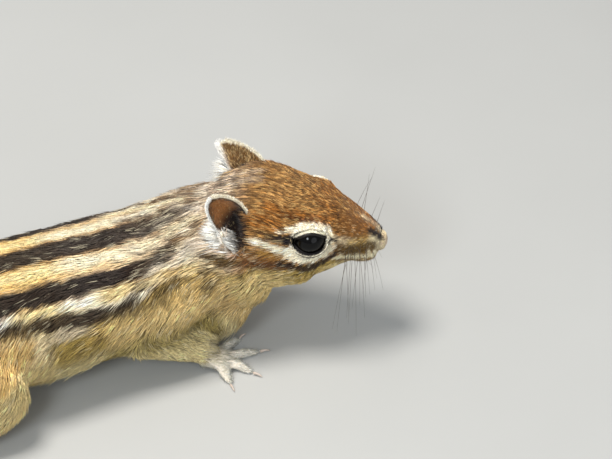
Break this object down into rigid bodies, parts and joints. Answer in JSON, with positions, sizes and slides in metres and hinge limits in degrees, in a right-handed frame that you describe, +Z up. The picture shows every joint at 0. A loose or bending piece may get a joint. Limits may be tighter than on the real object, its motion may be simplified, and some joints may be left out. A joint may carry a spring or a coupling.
{
  "type": "chipmunk",
  "caption": "Life-size striped chipmunk creeping low on all fours, head turned to its right, bushy tail held out behind just clear of the floor.",
  "frame": {"origin": "on the floor, under the middle of the whole animal's box", "axes": "+X forward along the back, +Y to the animal's left, +Z up"},
  "size_m": [0.2356, 0.0724, 0.0452],
  "materials": {
    "coat": "short flat fur, ochre and grey-brown with five dark stripes down the back, cream below",
    "foot_coat": "very short pale cream fur",
    "tail_coat": "long banded hair, ochre at the root, black-brown, then pale at the tips",
    "ear": "thin skin with down, dark brown inside, pale rim",
    "eye": "glossy black",
    "nose": "bare pinkish skin, slightly moist",
    "claw": "horn, grey-brown, translucent at the tips"
  },
  "bodies": {
    "root": {"claw_fore_left_1": "claw", "claw_fore_left_2": "claw", "claw_fore_left_3": "claw", "claw_fore_left_4": "claw", "claw_fore_right_1": "claw", "claw_fore_right_2": "claw", "claw_fore_right_3": "claw", "claw_fore_right_4": "claw", "claw_hind_left_1": "claw", "claw_hind_left_2": "claw", "claw_hind_left_3": "claw", "claw_hind_left_4": "claw", "claw_hind_left_5": "claw", "claw_hind_right_1": "claw", "claw_hind_right_2": "claw", "claw_hind_right_3": "claw", "claw_hind_right_4": "claw", "claw_hind_right_5": "claw", "ear_left": "ear", "ear_right": "ear", "eye_left": "eye", "eye_right": "eye", "forearm_left": "coat", "forearm_right": "coat", "forefoot_left": "foot_coat", "forefoot_right": "foot_coat", "head": "coat", "hindfoot_left": "foot_coat", "hindfoot_right": "foot_coat", "neck": "coat", "nose": "nose", "shank_left": "coat", "shank_right": "coat", "tail_base": "tail_coat", "tail_middle": "tail_coat", "tail_tip": "tail_coat", "thigh_left": "coat", "thigh_right": "coat", "torso": "coat", "upper_arm_left": "coat", "upper_arm_right": "coat"}
  },
  "joints": []
}
